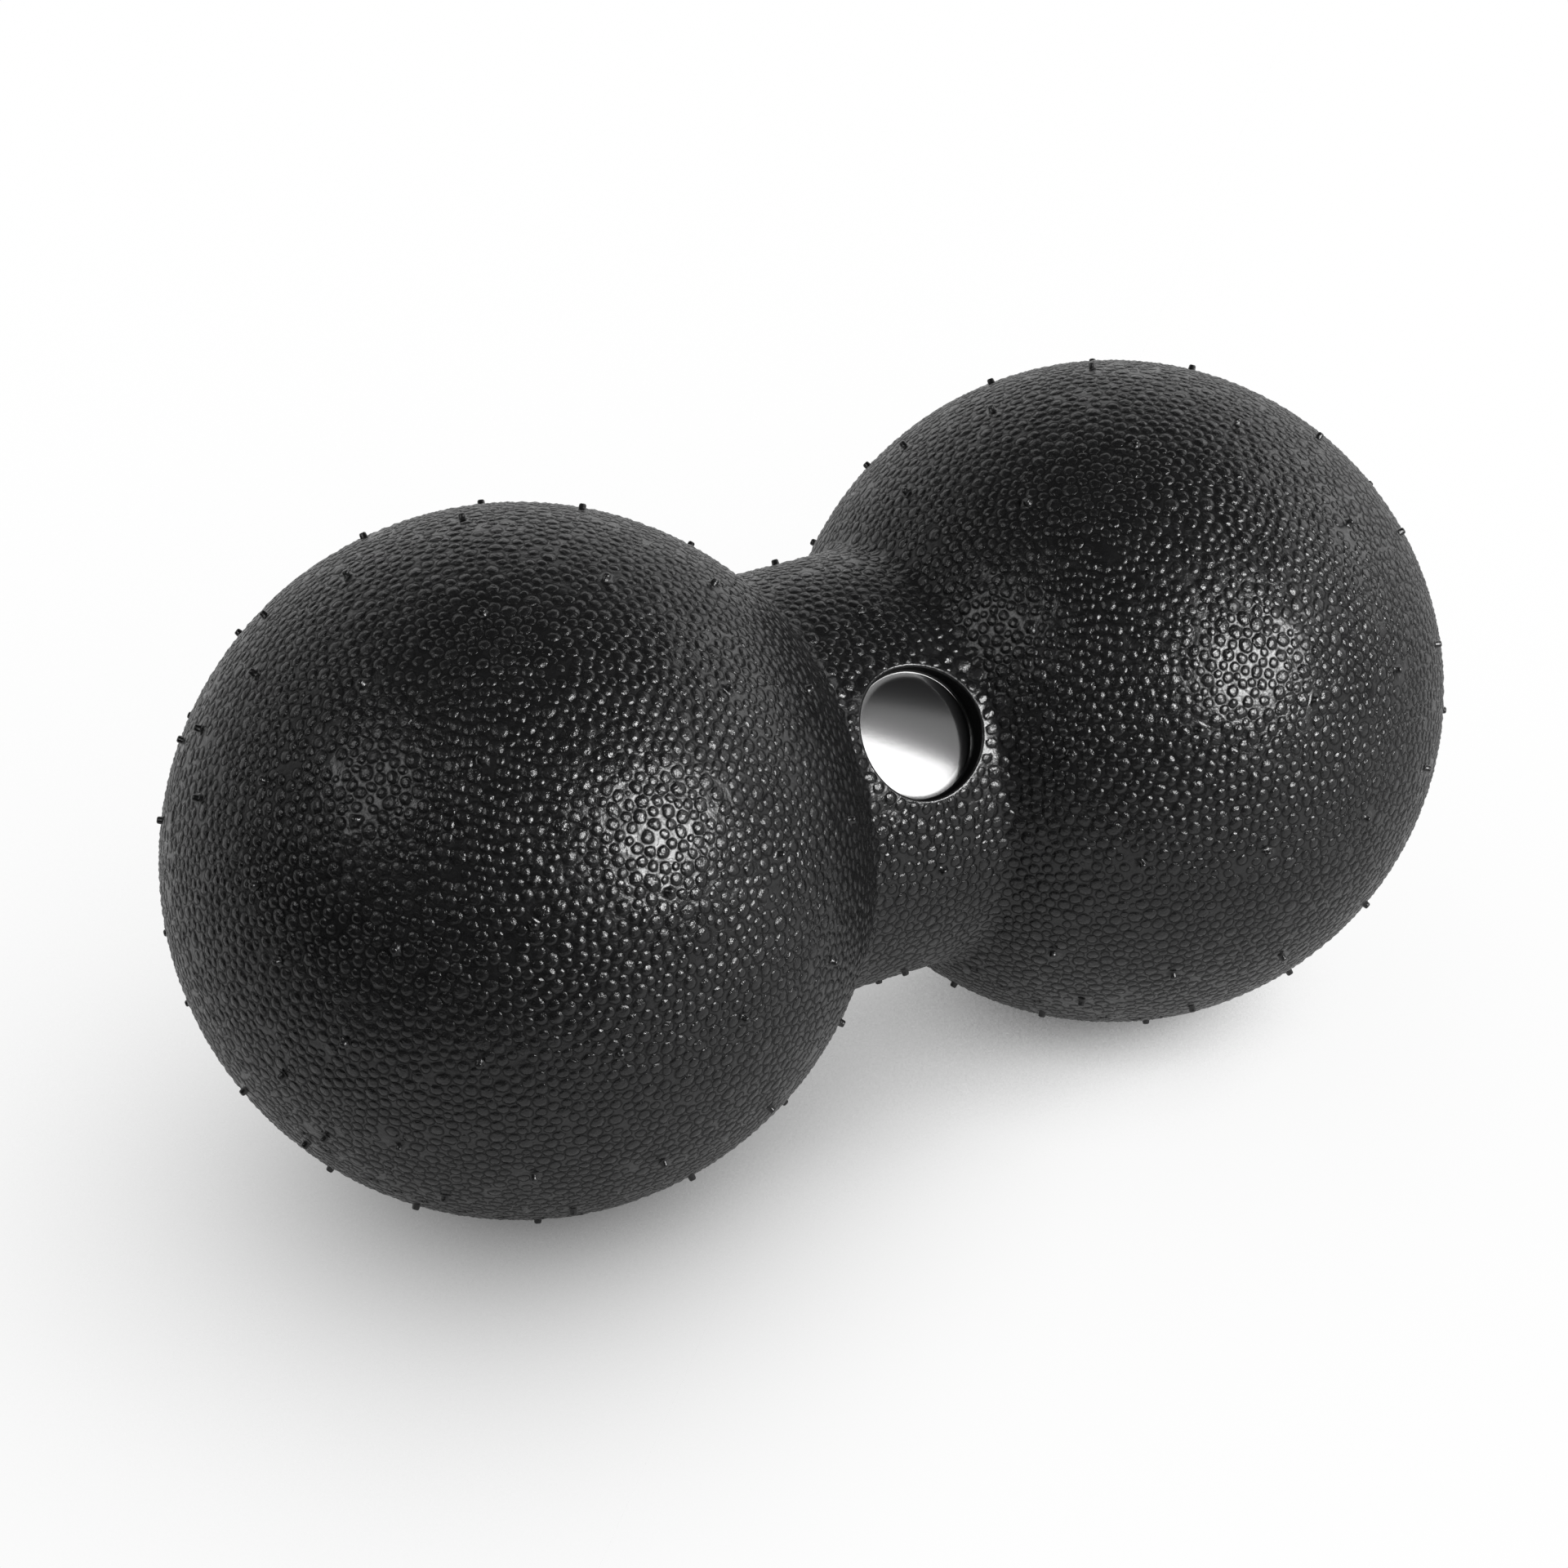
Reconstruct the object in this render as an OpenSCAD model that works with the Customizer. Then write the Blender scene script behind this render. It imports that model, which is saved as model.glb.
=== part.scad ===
// Peanut massage ball, moulded in one piece from black bead foam.
// The long axis is X, up is Z, and the origin is the middle of the body.

/* [Balls] */
// Diameter of each of the two balls
ball_d = 80; // [60:1:130]

/* [Waist] */
// Diameter of the round waist between the balls
waist_d = 50; // [40:1:54]
// Length of the straight part of the waist, between its two fillets
waist_length = 15.7; // [15:0.1:40]
// Radius of the fillet where the waist runs into each ball
waist_fillet_r = 2; // [0.5:0.5:4]

/* [Recess] */
// Diameter of the round recess in the waist
recess_d = 15; // [8:0.5:15]
// Depth of the recess, from the crown of the waist to the middle of its floor
recess_depth = 2.5; // [2:0.5:8]
// Radius of the rounded edge round the mouth of the recess
recess_rim_r = 0.3; // [0.1:0.1:0.6]
// Radius of the fillet between the wall of the recess and its floor
recess_corner_r = 0.3; // [0.2:0.1:0.6]
// Radius of the shallow dome of the recess floor
floor_dome_r = 90; // [40:5:200]
// How far the recess looks up from level, as the body lies
recess_up = 36; // [0:1:90]

/* [Vent pips] */
// Diameter of a pip at its foot
pip_foot_d = 0.9; // [0.8:0.1:2]
// Diameter of a pip at its tip
pip_tip_d = 0.8; // [0.5:0.1:1.5]
// Height of a pip
pip_h = 0.65; // [0.3:0.05:1]
// Angle from the outer end of a ball to the first pip of a row
pip_first = 25; // [15:1:40]
// Angle along a ball from one pip of a row to the next
pip_step = 21; // [14:1:40]

/* [Parting line] */
// Width of the fine line where the two halves of the mould meet
seam_w = 0.5; // [0.3:0.1:1]
// Height of that line above the skin
seam_h = 0.15; // [0.05:0.05:0.3]

/* [Hidden] */

ball_r = ball_d / 2;
waist_r = waist_d / 2;
recess_r = recess_d / 2;
// A fillet's arc is centred over the end of the straight waist and touches the ball
fillet_x = waist_length / 2;
fillet_centre_r = waist_r + waist_fillet_r;
fillet_reach = ball_r + waist_fillet_r;
// From the middle of the body to the centre of a ball, and from end to end
ball_x = fillet_x + sqrt(pow(fillet_reach, 2) - pow(fillet_centre_r, 2));
body_length = 2 * (ball_x + ball_r);

// The rows of pips lie at these angles round the long axis from the middle of the recess,
// and again on the other side and in the other half of the mould
outer_rows = [14, 66];
between_rows = [38, 82];
// The last pip of a row stands at least this angle short of the fillet
pip_clear = 5;
pip_last = 180 - asin(fillet_centre_r / fillet_reach) - pip_clear;
// A pip's foot is sunk this far, so that it grows out of the curved skin
pip_root = 0.3;

// Sides of a pip, and the flats round and across the rounded mouth of the recess
pip_sides = 16;
rim_sides = 48;
rim_flats = 3;
// How far a cutting shape runs past what it cuts
cut_over = 1;

$fn = 120;

// Half of the body's outline, with the long axis along Y and the radius along X. A height above
// the skin grows it all round.
module outline(above_skin = 0) {
    neck_r = waist_r + above_skin;
    arc_r = waist_fillet_r - above_skin;
    touch_share = (ball_r + above_skin) / fillet_reach;
    touch_x = ball_x - (ball_x - fillet_x) * touch_share;
    touch_r = fillet_centre_r * touch_share;
    intersection() {
        translate([0, -body_length]) square([body_length, 2 * body_length]);
        union() {
            for (side = [-1, 1]) translate([0, side * ball_x]) circle(ball_r + above_skin);
            difference() {
                translate([0, -touch_x]) square([touch_r, 2 * touch_x]);
                translate([neck_r, -fillet_x]) square([touch_r, 2 * fillet_x]);
                for (side = [-1, 1]) translate([fillet_centre_r, side * fillet_x]) circle(arc_r);
            }
        }
    }
}

// Two balls and the waist between them, as one turned form along X
module turned_form() {
    rotate([0, 90, 0]) rotate_extrude() outline();
}

// The fine raised line round the body, where the two halves of the mould meet
module parting_line() {
    linear_extrude(seam_w, center = true)
        rotate(-90) for (side = [0, 1]) mirror([side, 0]) outline(seam_h);
}

// The hollow of the recess, straight up from its domed floor
module recess_hollow() {
    floor_z = waist_r - recess_depth;
    dome_z = floor_z - floor_dome_r;
    corner_x = recess_r - recess_corner_r;
    corner_z = dome_z + sqrt(pow(floor_dome_r + recess_corner_r, 2) - pow(corner_x, 2));
    touch_x = corner_x * floor_dome_r / (floor_dome_r + recess_corner_r);
    rotate_extrude() difference() {
        translate([0, floor_z - recess_r]) square([recess_r, waist_r]);
        translate([0, dome_z]) circle(floor_dome_r);
        difference() {
            translate([touch_x, corner_z - 2 * recess_corner_r])
                square([2 * recess_corner_r, 2 * recess_corner_r]);
            translate([corner_x, corner_z]) circle(recess_corner_r);
        }
    }
}

// The way part of the turn from one unit vector to another
function turned_way(from, to, share) = let (angle = acos(from * to))
    (from * sin(angle * (1 - share)) + to * sin(angle * share)) / sin(angle);

// One cut through the rounding of the mouth, at an angle round the recess. A ball that touches
// the wall and the waist from inside the foam gives the arc, whose end flats run on a little.
function rim_section(turn) = let (
    ring_r = recess_r + recess_rim_r,
    from_wall = [-cos(turn), -sin(turn), 0],
    centre_y = ring_r * sin(turn),
    centre_z = sqrt(pow(waist_r - recess_rim_r, 2) - pow(centre_y, 2)),
    centre = [ring_r * cos(turn), centre_y, centre_z],
    from_waist = [0, centre_y, centre_z] / (waist_r - recess_rim_r),
    arc = [for (flat = [0:rim_flats])
        centre + recess_rim_r * turned_way(from_wall, from_waist, flat / rim_flats)],
    first = arc[0] + (arc[0] - arc[1]) / 4,
    last = arc[rim_flats] + (arc[rim_flats] - arc[rim_flats - 1]) / 4,
    top_z = waist_r + cut_over
) [
    first,
    for (flat = [1:rim_flats - 1]) arc[flat],
    last,
    [last.x, last.y, top_z],
    [first.x, first.y, top_z]
];

// What the rounding of the mouth takes away, as a ring that follows the curve of the waist
module mouth_rounding() {
    sections = [for (side = [0:rim_sides - 1]) rim_section(side * 360 / rim_sides)];
    corners = len(sections[0]);
    polyhedron(
        points = [for (section = sections) each section],
        faces = [for (side = [0:rim_sides - 1], corner = [0:corners - 1]) let (
            here = side * corners,
            there = (side + 1) % rim_sides * corners,
            next = (corner + 1) % corners
        ) each [
            [here + corner, there + next, there + corner],
            [here + corner, here + next, there + next]
        ]]
    );
}

// A pip standing on a skin of this radius, straight out along Z
module pip(skin_r) {
    translate([0, 0, skin_r - pip_root])
        cylinder(h = pip_h + pip_root, d1 = pip_foot_d, d2 = pip_tip_d, $fn = pip_sides);
}

// One row of pips along both balls, at an angle round the long axis
module pip_row(row, first) {
    for (side = [0, 1], station = [first:pip_step:pip_last])
        mirror([side, 0, 0]) rotate([row, 0, 0])
            translate([ball_x, 0, 0]) rotate([0, 90 - station, 0]) pip(ball_r);
}

// All the pips, alike in the four quarters round the long axis
module vent_pips() {
    for (half = [0, 1], side = [0, 1]) mirror([0, 0, half]) mirror([0, side, 0]) {
        for (row = outer_rows) pip_row(row, pip_first);
        for (row = between_rows) pip_row(row, pip_first + pip_step / 2);
        for (row = between_rows) rotate([row, 0, 0]) pip(waist_r);
    }
}

// The whole moulding, lying with its recess turned up from the front
module foam_body() {
    color([0.06, 0.06, 0.065]) rotate([90 - recess_up, 0, 0]) difference() {
        union() {
            turned_form();
            parting_line();
            vent_pips();
        }
        recess_hollow();
        mouth_rounding();
    }
}

foam_body();
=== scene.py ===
"""A peanut massage ball of black bead foam, dressed over its CAD frame.

The skin is one closed mesh. It is a packing of round foam beads, each a low dome in a fan of six or
so triangles, with the vent pips, the parting line and the blind recess of the moulding in it.
"""

import logging
import math
from dataclasses import dataclass, field
from enum import Enum

import bmesh
import bpy
import numpy as np
from mathutils import Matrix, Quaternion, Vector
from mathutils.geometry import delaunay_2d_cdt


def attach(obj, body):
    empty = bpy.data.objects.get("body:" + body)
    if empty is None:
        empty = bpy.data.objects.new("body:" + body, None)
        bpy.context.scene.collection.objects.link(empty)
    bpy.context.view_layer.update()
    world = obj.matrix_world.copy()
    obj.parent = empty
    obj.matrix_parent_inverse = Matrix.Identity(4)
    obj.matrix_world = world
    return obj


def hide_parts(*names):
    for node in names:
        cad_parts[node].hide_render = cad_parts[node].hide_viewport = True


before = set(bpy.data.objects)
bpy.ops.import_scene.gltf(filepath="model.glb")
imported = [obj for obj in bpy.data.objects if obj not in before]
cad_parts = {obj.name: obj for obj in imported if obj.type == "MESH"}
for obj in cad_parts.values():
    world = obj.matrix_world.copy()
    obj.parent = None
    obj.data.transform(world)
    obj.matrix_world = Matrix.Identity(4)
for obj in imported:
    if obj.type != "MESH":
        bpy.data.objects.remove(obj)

LOG = logging.getLogger("massage_ball")
MM = 0.001


# Shader nodes

class Value:
    """A number socket of a shader tree that takes part in plain Python sums."""

    def __init__(self, tree: "ShaderTree", socket: bpy.types.NodeSocket) -> None:
        """Keep the tree and the socket."""
        self.tree = tree
        self.socket = socket

    def maths(self, operation: str, *inputs: "Value | float") -> "Value":
        """Add one Math node and take its result, from values or numbers in order."""
        node = self.tree.node("ShaderNodeMath", {"operation": operation}, dict(enumerate(inputs)))
        return Value(self.tree, node.outputs[0])

    def __add__(self, other: "Value | float") -> "Value":
        """Add."""
        return self.maths("ADD", self, other)

    def __sub__(self, other: "Value | float") -> "Value":
        """Subtract."""
        return self.maths("SUBTRACT", self, other)

    def __rsub__(self, other: float) -> "Value":
        """Subtract from a number."""
        return self.maths("SUBTRACT", other, self)

    def __mul__(self, other: "Value | float") -> "Value":
        """Multiply."""
        return self.maths("MULTIPLY", self, other)

    def __truediv__(self, other: "Value | float") -> "Value":
        """Divide."""
        return self.maths("DIVIDE", self, other)

    def __pow__(self, other: float) -> "Value":
        """Raise to a power."""
        return self.maths("POWER", self, other)

    __radd__ = __add__
    __rmul__ = __mul__

    def at_least(self, other: "Value | float") -> "Value":
        """The greater of the two."""
        return self.maths("MAXIMUM", self, other)

    def at_most(self, other: "Value | float") -> "Value":
        """The smaller of the two."""
        return self.maths("MINIMUM", self, other)

    def ramp(self, low: float, high: float) -> "Value":
        """A smooth rise from 0 at low to 1 at high.

        Args:
            low: The value at which the rise begins.
            high: The value at which it ends.

        Returns:
            The risen value, from 0 to 1.
        """
        node = self.tree.node(
            "ShaderNodeMapRange",
            {"interpolation_type": "SMOOTHSTEP"},
            {"Value": self.socket, "From Min": low, "From Max": high},
        )
        return Value(self.tree, node.outputs["Result"])


class ShaderTree:
    """The node tree of a material or the world, filled one node at a time."""

    def __init__(self, owner: bpy.types.Material | bpy.types.World) -> None:
        """Empty the owner's node tree.

        Args:
            owner: The material or world that owns the tree.
        """
        owner.use_nodes = True
        self.nodes = owner.node_tree.nodes
        self.links = owner.node_tree.links
        self.nodes.clear()

    def node(
        self, kind: str, settings: dict | None = None, inputs: dict | None = None
    ) -> bpy.types.Node:
        """Add one node: its settings first, then its inputs.

        Args:
            kind: The node's type.
            settings: The node's own properties by name.
            inputs: A number, a colour, a Value or a socket for each input, by name or place.

        Returns:
            The new node.
        """
        made = self.nodes.new(kind)
        for name, setting in (settings or {}).items():
            setattr(made, name, setting)
        for name, given in (inputs or {}).items():
            given = given.socket if isinstance(given, Value) else given
            if isinstance(given, bpy.types.NodeSocket):
                self.links.new(given, made.inputs[name])
            else:
                made.inputs[name].default_value = given
        return made

    def place(self) -> bpy.types.NodeSocket:
        """The place of a point, in the frame of the body."""
        return self.node("ShaderNodeTexCoord").outputs["Object"]

    def parts(self, vector: bpy.types.NodeSocket) -> tuple[Value, ...]:
        """The three numbers of a vector."""
        split = self.node("ShaderNodeSeparateXYZ", None, {0: vector})
        return tuple(Value(self, part) for part in split.outputs[:3])

    def attribute(self, name: str) -> tuple[Value, ...]:
        """The three numbers that the corners of the mesh hold under a name."""
        source = self.node("ShaderNodeAttribute", {"attribute_name": name})
        return self.parts(source.outputs["Vector"])

    def along(self, place: bpy.types.NodeSocket, way: tuple[float, float, float]) -> Value:
        """How far a place lies along a direction."""
        dot = self.node("ShaderNodeVectorMath", {"operation": "DOT_PRODUCT"}, {0: place, 1: way})
        return Value(self, dot.outputs["Value"])

    def ray(self, kind: str) -> Value:
        """1 for the rays of one kind, and 0 for all others."""
        return Value(self, self.node("ShaderNodeLightPath").outputs[f"Is {kind} Ray"])

    def shown(self) -> Value:
        """1 for the rays that show the stage itself: seen, mirrored or gone through glass."""
        rays = self.ray("Camera") + self.ray("Transmission") + self.ray("Glossy")
        return rays.at_most(1.0)

    def mix(self, share: Value, none: bpy.types.Node, full: bpy.types.Node) -> bpy.types.Node:
        """A mix of two shaders, which is the second one where the share is 1."""
        inputs = {0: share, 1: none.outputs[0], 2: full.outputs[0]}
        return self.node("ShaderNodeMixShader", None, inputs)

    def show(self, shader: bpy.types.Node, owner: str = "Material") -> None:
        """Make a shader the surface of the material or the world."""
        self.node(f"ShaderNodeOutput{owner}", None, {"Surface": shader.outputs[0]})


# The form of the moulding

@dataclass(frozen=True)
class TurnedForm:
    """The smooth skin of the body, turned round X, with the recess looking along +Z.

    A place on the skin is a station, its distance along the outline from the middle of the waist,
    and a turn, its angle round X from +Z.
    """

    ball_r: float = 40.0 * MM
    waist_r: float = 25.0 * MM
    waist_half: float = 7.85 * MM
    fillet_r: float = 2.0 * MM

    @property
    def fillet_angle(self) -> float:
        """How far round its arc a fillet runs before it touches the ball."""
        return math.acos((self.waist_r + self.fillet_r) / (self.ball_r + self.fillet_r))

    @property
    def ball_x(self) -> float:
        """From the middle of the body to the centre of a ball."""
        return self.waist_half + (self.ball_r + self.fillet_r) * math.sin(self.fillet_angle)

    @property
    def fillet_end(self) -> float:
        """The station where a fillet meets its ball."""
        return self.waist_half + self.fillet_r * self.fillet_angle

    @property
    def half_length(self) -> float:
        """The station of the outer end of a ball."""
        return self.fillet_end + self.ball_r * (math.pi / 2 + self.fillet_angle)

    def outline(self, station: np.ndarray) -> tuple[np.ndarray, np.ndarray, np.ndarray]:
        """The outline at the stations.

        Args:
            station: Stations along the outline.

        Returns:
            The distance along X, the radius, and the angle of the skin's outward normal, from the
            radial direction towards +X.
        """
        away = np.abs(station)
        side = np.where(station < 0, -1.0, 1.0)
        arc = np.clip((away - self.waist_half) / self.fillet_r, 0, self.fillet_angle)
        polar = np.clip((self.half_length - away) / self.ball_r, 0, math.pi)
        on_ball = away > self.fillet_end
        x = np.minimum(away, self.waist_half) + self.fillet_r * np.sin(arc)
        radius = self.waist_r + self.fillet_r * (1 - np.cos(arc))
        x = np.where(on_ball, self.ball_x + self.ball_r * np.cos(polar), x)
        radius = np.where(on_ball, self.ball_r * np.sin(polar), radius)
        lean = np.where(on_ball, math.pi / 2 - polar, -arc)
        return side * x, radius, side * lean

    def place(self, station: np.ndarray, turn: np.ndarray) -> tuple[np.ndarray, np.ndarray]:
        """Places on the skin.

        Args:
            station: Stations along the outline.
            turn: Angles round X.

        Returns:
            The points and the outward normals there, one row each.
        """
        x, radius, lean = self.outline(station)
        sine, cosine = np.sin(turn), np.cos(turn)
        points = np.stack([x, radius * sine, radius * cosine], axis=1)
        normals = np.stack([np.sin(lean), np.cos(lean) * sine, np.cos(lean) * cosine], axis=1)
        return points, normals

    def nearest(self, points: np.ndarray) -> tuple[np.ndarray, np.ndarray]:
        """The places on the skin that are nearest to points close to it.

        Args:
            points: Points, one row each.

        Returns:
            Their stations and turns.
        """
        away = np.abs(points[:, 0])
        radius = np.hypot(points[:, 1], points[:, 2])
        polar = np.arctan2(radius, away - self.ball_x)
        on_ball = self.half_length - polar * self.ball_r
        arc = np.arctan2(away - self.waist_half, self.waist_r + self.fillet_r - radius)
        in_fillet = self.waist_half + self.fillet_r * arc
        near = np.where(on_ball > self.fillet_end, on_ball, in_fillet)
        near = np.where(away < self.waist_half, away, near)
        side = np.where(points[:, 0] < 0, -1.0, 1.0)
        return side * near, np.arctan2(points[:, 1], points[:, 2])


class SeedKind(Enum):
    """What a cell of the skin holds."""

    BEAD = 0
    PIP = 1
    INSIDE_RECESS = 2


@dataclass(frozen=True)
class Recess:
    """The blind round recess in the waist, with a rounded mouth and a domed floor."""

    radius: float = 7.5 * MM
    depth: float = 2.5 * MM
    rim_r: float = 0.3 * MM
    corner_r: float = 0.3 * MM
    dome_r: float = 90.0 * MM
    rim_steps: int = 4
    wall_steps: int = 3
    corner_steps: int = 4
    floor_steps: int = 9

    def mouth(self, turn: float, form: TurnedForm, share: float) -> Vector:
        """A point of the rounded mouth.

        Args:
            turn: The angle round the axis of the recess, from +X.
            form: The skin that the recess is in.
            share: How far down the rounding, from 0 on the skin to 1 on the wall.

        Returns:
            The point.
        """
        ring_r = self.radius + self.rim_r
        inner_r = form.waist_r - self.rim_r
        y = ring_r * math.sin(turn)
        centre = Vector((ring_r * math.cos(turn), y, math.sqrt(inner_r**2 - y**2)))
        to_skin = Vector((0, y, centre.z)) / inner_r
        to_wall = Vector((-math.cos(turn), -math.sin(turn), 0))
        return centre + self.rim_r * to_skin.slerp(to_wall, share)

    def inner_rings(self, form: TurnedForm) -> list[tuple[float, float]]:
        """The rings below the mouth, down the wall and over the floor.

        Args:
            form: The skin that the recess is in.

        Returns:
            The radius and height of each ring, from the foot of the wall inwards.
        """
        dome_z = form.waist_r - self.depth - self.dome_r
        corner_x = self.radius - self.corner_r
        corner_z = dome_z + math.sqrt((self.dome_r + self.corner_r) ** 2 - corner_x**2)
        lean = math.asin(corner_x / (self.dome_r + self.corner_r))
        steps = range(self.corner_steps + 1)
        angles = [-(math.pi / 2 + lean) * step / self.corner_steps for step in steps]
        reach = self.corner_r
        rings = [(corner_x + reach * math.cos(a), corner_z + reach * math.sin(a)) for a in angles]
        touch = rings[-1][0]
        for step in range(1, self.floor_steps):
            radius = touch * (1 - step / self.floor_steps)
            rings.append((radius, dome_z + math.sqrt(self.dome_r**2 - radius**2)))
        return rings


@dataclass(frozen=True)
class VentPips:
    """The small nubs that the vents of the mould leave, in rows on both balls and the waist."""

    foot_r: float = 0.45 * MM
    tip_r: float = 0.4 * MM
    height: float = 0.5 * MM
    edge_r: float = 0.12 * MM
    root: float = 0.1 * MM
    collar: float = 0.15 * MM
    inset: float = 0.05 * MM
    first: float = math.radians(25)
    step: float = math.radians(21)
    clear: float = math.radians(5)
    rounding: float = 1e-6
    outer_rows: tuple[float, ...] = (math.radians(14), math.radians(66))
    between_rows: tuple[float, ...] = (math.radians(38), math.radians(82))

    def places(self, form: TurnedForm) -> tuple[np.ndarray, np.ndarray]:
        """Where the pips stand.

        Args:
            form: The skin that they stand on.

        Returns:
            Their stations and turns.
        """
        last = math.pi / 2 + form.fillet_angle - self.clear + self.rounding
        starts = [(row, self.first) for row in self.outer_rows]
        starts += [(row, self.first + self.step / 2) for row in self.between_rows]
        spots = [
            (side * (form.half_length - angle * form.ball_r), row)
            for row, start in starts
            for angle in np.arange(start, last, self.step)
            for side in (-1, 1)
        ]
        spots += [(0.0, row) for row in self.between_rows]
        quarters = [
            (station, turn)
            for station, row in spots
            for turn in (row, -row, math.pi - row, row - math.pi)
        ]
        stations, turns = np.array(quarters).T
        return stations, turns


@dataclass
class BeadPacking:
    """Round beads of many sizes, packed side by side over the skin in no order.

    The size of a bead is its diameter as a share of the mean pitch. The last bead, the far end of
    the body, has a size too, but no station or turn. Plays, offsets, clearances and the limits of
    a push are shares of the pitch too.
    """

    form: TurnedForm
    recess: Recess
    pips: VentPips
    pitch: float = 1.5 * MM
    loose: float = 0.42
    size_spread: float = 0.18
    smallest: float = 0.62
    largest: float = 1.36
    pressed: float = 0.92
    fixed_size: float = 0.95
    seam_play: float = 0.16
    seam_off: tuple[float, float] = (0.42, 0.56)
    seam_clear: float = 0.7
    mouth_play: float = 0.15
    mouth_off: tuple[float, float] = (0.42, 0.52)
    free_clear: float = 0.72
    relax_rounds: int = 6
    push_share: float = 0.28
    push_limits: tuple[float, float] = (-0.12, 0.5)
    least_corner: float = 0.08
    dome_limits: tuple[float, float] = (0.3, 1.06)
    area_steps: int = 20000
    map_steps: int = 40000
    block: int = 2000
    same_place: float = 1e-9
    seed: int = 41
    fixed_count: int = 0
    station: np.ndarray = field(init=False)
    turn: np.ndarray = field(init=False)
    kind: np.ndarray = field(init=False)
    size: np.ndarray = field(init=False)
    faces: np.ndarray = field(init=False)

    @property
    def bead_r(self) -> np.ndarray:
        """The radius that each bead would like to have, the far end's last."""
        return self.size * self.pitch / 2 * self.pressed

    def seam_row(self, random: np.random.Generator) -> tuple[np.ndarray, np.ndarray]:
        """Beads in pairs along both sides of the parting line, so that it stays straight.

        Args:
            random: The source of chance.

        Returns:
            Their stations and turns.
        """
        reach = self.form.half_length - self.pitch
        count = int(2 * reach / self.pitch)
        along = np.linspace(-reach, reach, count)
        stations, turns = [], []
        for side in (-1, 1):
            play = random.uniform(-self.seam_play, self.seam_play, count)
            station = along + play * self.pitch
            off = random.uniform(*self.seam_off, count) * self.pitch
            _, radius, _ = self.form.outline(station)
            for mirror in (-1, 1):
                stations.append(station)
                turns.append(side * math.pi / 2 + mirror * off / radius)
        return np.concatenate(stations), np.concatenate(turns)

    def mouth_rings(self, random: np.random.Generator) -> tuple[np.ndarray, np.ndarray, np.ndarray]:
        """Beads in pairs on both sides of the mouth of the recess.

        Args:
            random: The source of chance.

        Returns:
            The stations and turns of the outer beads and then of those inside the mouth, and
            which of them are inside.
        """
        around = 2 * math.pi * (self.recess.radius + self.recess.rim_r)
        count = int(around / self.pitch)
        play = random.uniform(-self.mouth_play, self.mouth_play, count)
        turns = (np.arange(count) + play) * 2 * math.pi / count
        off = random.uniform(*self.mouth_off, count) * self.pitch
        points = []
        for side in (1, -1):
            for turn, away in zip(turns.tolist(), off.tolist()):
                edge = self.recess.mouth(turn, self.form, 0.0)
                out = Vector((edge.x, edge.y, 0)).normalized()
                points.append(edge + side * away * out)
        station, turn = self.form.nearest(np.array(points))
        inside = np.arange(2 * count) >= count
        return station, turn, inside

    def scatter(self) -> None:
        """Put down the beads: those with a fixed place first, then the others between them."""
        random = np.random.default_rng(self.seed)
        self.put_fixed(random)
        station, turn = self.free_places(random)
        self.fixed_count = len(self.station)
        self.station = np.concatenate([self.station, station])
        self.turn = np.concatenate([self.turn, turn])
        self.kind = np.concatenate([self.kind, np.zeros(len(station), dtype=int)])
        size = np.exp(random.normal(0, self.size_spread, len(station) + 1))
        size = np.clip(size, self.smallest, self.largest)
        self.size = np.concatenate([np.full(self.fixed_count, self.fixed_size), size])

    def put_fixed(self, random: np.random.Generator) -> None:
        """Put down the near end, the pips, the beads round the mouth and those along the seam.

        Args:
            random: The source of chance.
        """
        pip_station, pip_turn = self.pips.places(self.form)
        seam_station, seam_turn = self.seam_row(random)
        ring_station, ring_turn, inside = self.mouth_rings(random)
        near_end = -self.form.half_length
        station = np.concatenate([[near_end], pip_station, ring_station, seam_station])
        turn = np.concatenate([[0.0], pip_turn, ring_turn, seam_turn])
        ring_from = 1 + len(pip_station)
        seam_from = ring_from + len(inside)
        kind = np.full(len(station), SeedKind.BEAD.value)
        kind[1:ring_from] = SeedKind.PIP.value
        kind[ring_from:seam_from][inside] = SeedKind.INSIDE_RECESS.value
        # What is in place stays there, and a seam bead that would crowd it is dropped
        points, _ = self.form.place(station, turn)
        crowd = points[:seam_from]
        kept = np.ones(len(points), dtype=bool)
        for number in range(seam_from, len(points)):
            gap = np.linalg.norm(crowd - points[number], axis=1).min()
            kept[number] = gap > self.seam_clear * self.pitch
        self.station, self.turn, self.kind = station[kept], turn[kept], kind[kept]

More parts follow.
